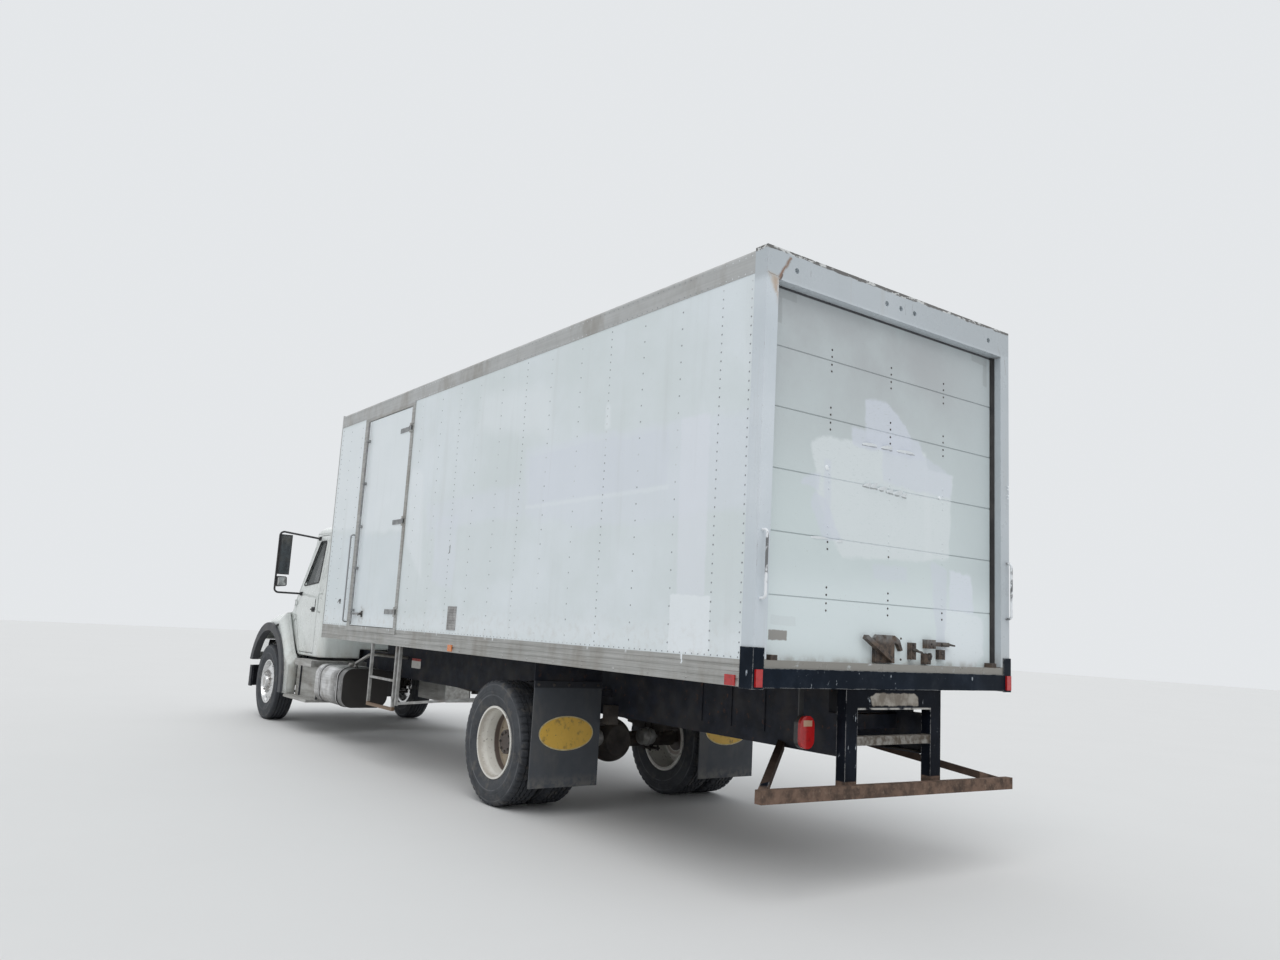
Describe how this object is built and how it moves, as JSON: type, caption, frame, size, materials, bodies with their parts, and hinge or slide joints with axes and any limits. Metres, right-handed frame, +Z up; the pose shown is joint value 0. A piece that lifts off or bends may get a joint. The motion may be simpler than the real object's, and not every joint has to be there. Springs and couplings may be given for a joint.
{
  "type": "box truck",
  "caption": "Long box truck with a conventional cab, tall van body, roll-up rear door, hinged side door above a ladder step, and a bent rear guard.",
  "frame": {"origin": "on the ground under the middle of the truck's bounding box", "axes": "+X towards the front of the truck, +Y to its left, +Z up"},
  "size_m": [11.187, 2.842, 3.979],
  "materials": {
    "white_body": "gloss",
    "white_wall": "satin",
    "mill_aluminium": "satin",
    "black_steel": "satin",
    "frame_black": "satin",
    "axle_iron": "matt",
    "engine_grey": "matt",
    "rusty_steel": "matt",
    "exhaust_steel": "dull",
    "tank_aluminium": "brushed",
    "bright_wheel": "polished",
    "white_wheel": "dirty",
    "tyre_rubber": "matt",
    "flap_rubber": "matt",
    "red_lens": "gloss",
    "amber_lens": "gloss",
    "dark_glass": "clear",
    "lamp_glass": "clear",
    "cab_trim": "matt",
    "black_plastic": "matt",
    "flare_grey": "matt",
    "deck_wood": "worn",
    "grille_dark": "matt"
  },
  "bodies": {
    "chassis": {"frame_rails": "frame_black", "frame_crossmembers": "frame_black", "leaf_springs": "axle_iron", "front_axle": "axle_iron", "rear_axle": "axle_iron", "engine": "engine_grey", "drive_shaft": "axle_iron", "exhaust": "exhaust_steel", "fuel_tank": "tank_aluminium", "cab_steps": "tank_aluminium", "air_tanks": "frame_black", "front_bumper": "black_steel", "mud_flaps": "flap_rubber", "underride_guard": "rusty_steel", "red_lamps": "red_lens", "amber_lamps": "amber_lens", "cab_floor": "cab_trim", "cab_back": "white_body", "cab_roof": "white_body", "cab_front": "white_body", "cab_glass": "dark_glass", "cab_interior": "cab_trim", "body_floor": "deck_wood", "body_sills": "frame_black", "side_wall_left": "white_wall", "side_wall_right": "white_wall", "front_wall": "white_wall", "roof_panel": "mill_aluminium", "body_rails": "mill_aluminium", "rear_frame": "white_body", "bumper_beam": "black_steel", "roll_door": "white_wall", "side_door_frame": "mill_aluminium", "side_ladder": "frame_black", "body_hardware": "white_body"},
    "hood_lid": {"hood": "white_body", "grille": "grille_dark", "headlamps": "lamp_glass", "fender_flares": "flare_grey"},
    "door_left": {"cab_door_left": "white_body", "door_glass_left": "dark_glass", "mirror_left": "black_plastic"},
    "door_right": {"cab_door_right": "white_body", "door_glass_right": "dark_glass", "mirror_right": "black_plastic"},
    "side_door_leaf": {"side_door": "white_wall", "side_door_hardware": "exhaust_steel"},
    "steering_left": {"knuckle_left": "axle_iron"},
    "steering_right": {"knuckle_right": "axle_iron"},
    "track_rod": {"tie_rod": "axle_iron"},
    "hand_wheel": {"steering_wheel": "black_plastic"},
    "wheel_front_left": {"front_tyre_left": "tyre_rubber", "front_wheel_left": "bright_wheel"},
    "wheel_front_right": {"front_tyre_right": "tyre_rubber", "front_wheel_right": "bright_wheel"},
    "wheel_rear_left": {"rear_tyres_left": "tyre_rubber", "rear_wheels_left": "white_wheel"},
    "wheel_rear_right": {"rear_tyres_right": "tyre_rubber", "rear_wheels_right": "white_wheel"}
  },
  "joints": [
    {"name": "steer_left", "type": "hinge", "parent": "chassis", "child": "steering_left", "pos_m": [4.6435, 0.88, 0.52], "axis": [0, 0, 1], "range_deg": [-32, 32]},
    {"name": "steer_right", "type": "hinge", "parent": "chassis", "child": "steering_right", "pos_m": [4.6435, -0.88, 0.52], "axis": [0, 0, 1], "range_deg": [-32, 32]},
    {"name": "tie_rod_pivot", "type": "hinge", "parent": "steering_left", "child": "track_rod", "pos_m": [4.4535, 0.88, 0.4], "axis": [0, 0, 1], "range_deg": [-32, 32]},
    {"name": "steering_wheel_turn", "type": "hinge", "parent": "chassis", "child": "hand_wheel", "pos_m": [3.7025, 0.5, 1.76], "axis": [-0.6157, 0, 0.788], "range_deg": [-544, 544]},
    {"name": "front_wheel_left_spin", "type": "hinge", "parent": "steering_left", "child": "wheel_front_left", "pos_m": [4.6435, 1.0275, 0.52], "axis": [0, 1, 0], "continuous": true},
    {"name": "front_wheel_right_spin", "type": "hinge", "parent": "steering_right", "child": "wheel_front_right", "pos_m": [4.6435, -1.0275, 0.52], "axis": [0, 1, 0], "continuous": true},
    {"name": "rear_wheels_left_spin", "type": "hinge", "parent": "chassis", "child": "wheel_rear_left", "pos_m": [-2.2585, 0.9145, 0.52], "axis": [0, 1, 0], "continuous": true},
    {"name": "rear_wheels_right_spin", "type": "hinge", "parent": "chassis", "child": "wheel_rear_right", "pos_m": [-2.2585, -0.9145, 0.52], "axis": [0, 1, 0], "continuous": true},
    {"name": "hood_tilt", "type": "hinge", "parent": "chassis", "child": "hood_lid", "pos_m": [5.3925, 0, 0.745], "axis": [0, 1, 0], "range_deg": [0, 55]},
    {"name": "cab_door_left_swing", "type": "hinge", "parent": "chassis", "child": "door_left", "pos_m": [4.0405, 1.045, 1.54], "axis": [0, 0, -1], "range_deg": [0, 70]},
    {"name": "cab_door_right_swing", "type": "hinge", "parent": "chassis", "child": "door_right", "pos_m": [4.0405, -1.045, 1.54], "axis": [0, 0, 1], "range_deg": [0, 70]},
    {"name": "side_door_swing", "type": "hinge", "parent": "chassis", "child": "side_door_leaf", "pos_m": [-0.1375, 1.3195, 2.523], "axis": [0, 0, 1], "range_deg": [0, 165]}
  ],
  "couplings": [
    {"joint": "steer_right", "follows": "steer_left", "ratio": 1},
    {"joint": "tie_rod_pivot", "follows": "steer_left", "ratio": -1},
    {"joint": "steering_wheel_turn", "follows": "steer_left", "ratio": 17}
  ]
}
